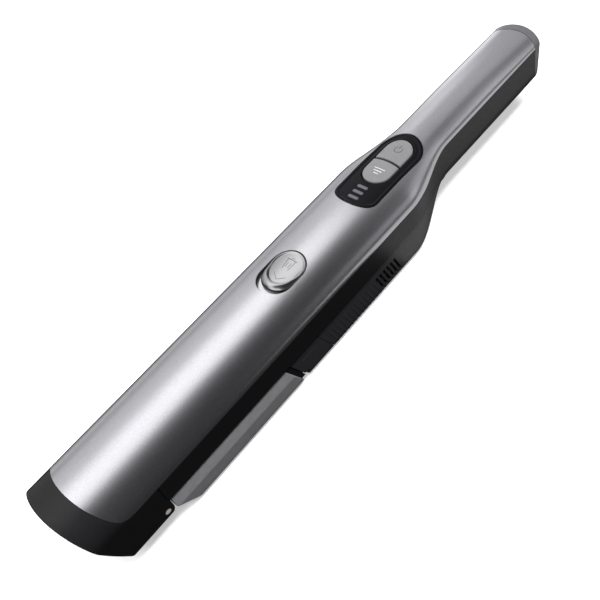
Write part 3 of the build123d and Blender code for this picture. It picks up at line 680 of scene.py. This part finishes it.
def panel_height(x, y, e):
    """Raised rim round the edge, stronger towards the rear, and a face a little below the shell."""
    rim = sin(pi * min(e / PANEL_RIM_W, 1.0)) ** 2
    rise = 0.2 + 0.2 * blend(x, 218.0, 250.0)
    face = PANEL_SUNK * blend(e, 1.4, PANEL_RIM_W)
    return arch_z(x, y) - face - rounding(e, 0.4, 0.35) + rise * rim


def panel():
    insets = [0.0, 0.12, 0.25, 0.4, 0.7, 1.0, 1.3, 1.6, 1.9, 2.2, 2.6, 3.2, 4.5, 6.0, 8.0, 10.0, 12.0, 13.6]
    piece = pad("panel_face", panel_outline, insets, panel_height, PANEL_BASE, GLOSS_BLACK, "housing")
    pocket = stadium(KEY_FRONT - POCKET_GAP, KEY_REAR + POCKET_GAP, KEY_W + 2 * POCKET_GAP)
    cut(piece, prism(pocket, POCKET_FLOOR))
    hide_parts("control_panel")


def lamp_outline(x):
    """The outline function of the light bar that lies across station x."""
    def outline(e):
        bar = stadium(-LAMP_L / 2 + e, LAMP_L / 2 - e, LAMP_W - 2 * e, 6)
        return [(x + across, along) for along, across in bar]
    return outline


def lens_height(x, y, e):
    return arch_z(x, y) - LAMP_SUNK - rounding(e, 0.4, 0.35)


def lamps():
    insets = [0.0, 0.1, 0.25, 0.4, 0.7]
    for k, x in enumerate(LAMP_X):
        lamp = pad(f"lamp_{k + 1}", lamp_outline(x), insets, lens_height, LAMP_BASE, LAMP, "housing")
        if k == 0:
            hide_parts("led_bars")


# --- nozzle ---
RIM_MID = (-25.0, 43.0)    # station and height at which the rim's two stretches meet
RIM_UP = (-11.8, 21.0)     # from there to the upper end
RIM_DOWN = (16.5, 37.0)    # and, downwards, to the lower end
RIM_BOW = 4.9
LIP_R = 0.93
LIP_INSET = 0.95
LIP_SET_BACK = 1.1


def rim_x(z):
    """Station of the nozzle's slanted rim at height z, through two bows like the CAD model's."""
    x, middle = RIM_MID
    if z > middle:
        t = (z - middle) / RIM_UP[1]
        return x + RIM_UP[0] * t + RIM_BOW * t * (1 - t)
    t = (middle - z) / RIM_DOWN[1]
    return x + RIM_DOWN[0] * t - RIM_BOW * t * (1 - t)


def section_loop(inset):
    """Closed loop of (y, z) round the nozzle's section, inset millimetres inside it."""
    w = BODY_W / 2 - inset
    low = NOZZLE_BOTTOM_Z + inset
    r = BELLY_R - inset
    rise = TOP_Z - inset - SEAM_Z
    crown = [(w * cos(a), SEAM_Z + rise * sin(a)) for a in half_turn()]
    side = [(-w, SEAM_Z - (SEAM_Z - low - r) * i / 8) for i in range(1, 8)]
    side += [(-w + r - r * cos(a), low + r - r * sin(a)) for a in [pi / 2 * i / 6 for i in range(7)]]
    side += [((-w + r) * (1 - i / 6), low) for i in range(1, 6)]
    return crown + side + [(-y, z) for y, z in side[::-1]]


def nozzle_lip():
    """Rounded bead round the nozzle's rim."""
    loop = section_loop(LIP_INSET)
    path = [at(rim_x(z) + LIP_SET_BACK, y, z) for y, z in loop]
    wire("nozzle_lip", [path], LIP_R, FRAME_BLACK, "housing", closed=True)


# --- dust door ---
DOOR_FRONT = 18.7
DOOR_TOP = 27.6
DOOR_REAR = 110.4
NOSE_TOP = 16.8            # the door's nose slopes back below this height
NOSE_SLOPE = 11.4 / 10.4
RIDGE_Z = 16.5
SKIN_PROUD = 0.05          # the skin stands this far off the door at its upper edge
RIDGE_PROUD = 0.85         # and this much further at the ridge
SKIN_WRAP = radians(62)    # the skin wraps round the lower corner by this angle
SKIN_WALL = 0.9
SKIN_SUNK = 0.2            # its inner face lies this much deeper in the door


def door_front(z):
    return DOOR_FRONT + max(NOSE_TOP - z, 0.0) * NOSE_SLOPE


def door_rear(z):
    return DOOR_REAR + (DOOR_TOP - z) * tan(radians(RAKE))


def door_skins():
    """Side panels of the door, each with a soft ridge along the middle of its height."""
    wall = BODY_W / 2 - BELLY_INSET
    r = BELLY_R - BELLY_INSET
    heights = [DOOR_TOP - i * (DOOR_TOP - r) / 24 for i in range(25)]
    proud = []
    for z in heights:
        down_to_ridge = (DOOR_TOP - z) / (DOOR_TOP - RIDGE_Z)
        up_to_ridge = (z - r + 1.0) / (RIDGE_Z - r + 1.0)
        proud.append(SKIN_PROUD + RIDGE_PROUD * min(down_to_ridge, up_to_ridge))
    section = [(wall + p, z, 0.0) for p, z in zip(proud, heights)]
    for i in range(1, 9):
        a = SKIN_WRAP * i / 8
        p = proud[-1] * (1 - i / 8) + 0.03
        section.append((wall - r + (r + p) * cos(a), r - (r + p) * sin(a), a))
    for side, name in ((-1, "door_skin_near"), (1, "door_skin_far")):
        outer = []
        inner = []
        for y, z, a in section:
            x0, x1 = door_front(z), door_rear(z)
            xs = [x0 + (x1 - x0) * i / 40 for i in range(41)]
            outer.append([at(x, side * y, z) for x in xs])
            deep_y = y - SKIN_WALL * cos(a) - SKIN_SUNK
            inner.append([at(x, side * deep_y, z + SKIN_WALL * sin(a)) for x in xs])
        skin = shell_from_grid(name, outer, inner, DOOR_GREY, "door")
        bevel(skin, 0.2, 2, 50)


# --- ribs on the housing ---
def flank(depth):
    """Path of (y, z) down the housing's side from the vents' upper line and round its lower corner."""
    w = BODY_W / 2 - BELLY_INSET + depth
    r = BELLY_R - BELLY_INSET + depth
    low = -depth
    side = [(w, VENT_TOP - (VENT_TOP - low - r) * i / 8) for i in range(9)]
    turn = [radians(60) * i / 8 for i in range(1, 9)]
    return side + [(w - r + r * cos(a), low + r - r * sin(a)) for a in turn]


# across a rib: distance from its middle, and height above the flank
RIB_PROFILE = ((-0.62, -0.12), (-0.5, 0.1), (-0.25, 0.2), (0.25, 0.2), (0.5, 0.1), (0.62, -0.12))


def rib_rows(x, side):
    """Points of one rib at station x: rows across its profile, down its length."""
    length = len(flank(0.0))
    rows = []
    for i in range(length):
        fade = min(1.0, i / 2, (length - 1 - i) / 2)    # both ends of the rib run out into the flank
        row = []
        for dx, rise in RIB_PROFILE:
            y, z = flank(rise if rise < 0 else rise * fade)[i]
            lean = (VENT_TOP - z) * tan(radians(VENT_RAKE))
            row.append(at(x + dx + lean, side * y, z))
        rows.append(row)
    return rows


def housing_ribs():
    """Blind ribs ahead of the vent slots, which lean like them."""
    verts = []
    faces = []
    n = len(RIB_PROFILE)
    for side in (-1, 1):
        for k in range(RIB_COUNT):
            rows = rib_rows(VENT_X - VENT_PITCH * (k + 1), side)
            for i in range(len(rows) - 1):
                for j in range(n - 1):
                    a = len(verts) + i * n + j
                    faces.append([a, a + 1, a + n + 1, a + n])
            verts += [point for row in rows for point in row]
    piece = mesh_object("housing_ribs", verts, faces, HOUSING_BLACK)
    fix_normals(piece)


# --- room ---
def floor():
    """Pale floor that lights nothing itself, so that the black and silver flanks stay dark."""
    half = 6.0
    corners = [(-half, -half, 0), (half, -half, 0), (half, half, 0), (-half, half, 0)]
    data = bpy.data.meshes.new("floor")
    data.from_pydata(corners, [], [(0, 1, 2, 3)])
    data.materials.append(floor_look())
    ground = bpy.data.objects.new("floor", data)
    ground.location.z = -0.0003
    ground.visible_glossy = False
    ground.visible_diffuse = False
    SCENE.collection.objects.link(ground)


def area_light(name, place, turn, width, length, strength):
    """Rectangular light whose face has the given radiance."""
    data = bpy.data.lights.new(name, "AREA")
    data.shape = "RECTANGLE"
    data.size = width
    data.size_y = length
    data.energy = strength * pi * width * length
    lamp = bpy.data.objects.new(name, data)
    lamp.location = place
    lamp.rotation_euler = turn
    SCENE.collection.objects.link(lamp)
    return lamp


def facing(place, aim, across):
    """Rotation of a light at place that faces aim."""
    return (aim - place).to_track_quat("-Z", across).to_euler()


def softbox(name, angle, x, width, length, strength, gloss=True, diffuse=True, distance=1.0):
    """Light that faces the object at x. angle turns it about the X axis, from the far side over the top."""
    aim = Vector((x, 0, 0.04))
    place = aim + distance * Vector((0, cos(radians(angle)), sin(radians(angle))))
    lamp = area_light(name, place, facing(place, aim, "X"), width, length, strength)
    lamp.visible_glossy = gloss
    lamp.visible_diffuse = diffuse


def front_card():
    """Upright card ahead of the nozzle, which brightens the faces that look forwards."""
    place = Vector((-1.0, -0.15, 0.42))
    lamp = area_light("front_card", place, facing(place, Vector(), "Y"), width=1.1, length=0.8, strength=2.0)
    lamp.visible_diffuse = False


def floor_card():
    """Bright stretch of floor on the near side, from the object's middle to well past its handle."""
    place = (0.54, -0.33, 0.001)
    lamp = area_light("floor_card", place, (pi, 0, 0), width=1.0, length=0.60, strength=0.75)
    lamp.visible_camera = False
    lamp.visible_diffuse = False


def lights():
    sky = bpy.data.worlds.new("studio")
    sky.use_nodes = True
    sky.node_tree.nodes["Background"].inputs["Color"].default_value = (0.97, 0.98, 1.0, 1)
    sky.node_tree.nodes["Background"].inputs["Strength"].default_value = 0.045
    SCENE.world = sky
    softbox("key_softbox", angle=62, x=-0.30, width=0.54, length=1.7, strength=2.1)
    softbox("far_upper", angle=30, x=0.2, width=0.50, length=1.8, strength=0.85)
    softbox("far_low", angle=0, x=0.45, width=0.30, length=2.6, strength=0.9)
    softbox("end_far", angle=5, x=1.15, width=0.5, length=0.7, strength=0.95)
    softbox("end_top", angle=62, x=1.1, width=1.1, length=0.8, strength=0.68)
    softbox("end_upper", angle=107, x=1.1, width=0.45, length=0.8, strength=0.4)
    softbox("end_near", angle=140, x=1.1, width=0.8, length=0.6, strength=0.8, diffuse=False)
    softbox("near_mid", angle=150, x=0.74, width=0.55, length=0.62, strength=0.4, diffuse=False)
    softbox("floor_wash", angle=92, x=0.0, width=2.5, length=2.5, strength=1.3, gloss=False, distance=2.2)
    softbox("overhead_strip", angle=107, x=0.0, width=0.5, length=2.5, strength=26.0, gloss=False,
            distance=2.2)
    front_card()
    floor_card()


def camera():
    """Three-quarter view from above the nozzle on the near side."""
    eye = Vector((-8.02 + STATION_0, -257.7, 394.9)) * MM
    right = Vector((0.6409, -0.7334, -0.2267))
    up = Vector((0.6880, 0.4179, 0.5935))
    lens = bpy.data.cameras.new("camera")
    lens.lens = 47.62
    lens.sensor_width = 36.0
    holder = bpy.data.objects.new("camera", lens)
    holder.matrix_world = Matrix.Translation(eye) @ Matrix((right, up, right.cross(up))).transposed().to_4x4()
    SCENE.collection.objects.link(holder)
    SCENE.camera = holder


dress_cad_nodes()
silver_shell()
recess_well()
release_slide()
slide_icons()
keys()
key_icons()
panel()
lamps()
nozzle_lip()
door_skins()
housing_ribs()
floor()
lights()
camera()
SCENE.view_settings.view_transform = "Standard"
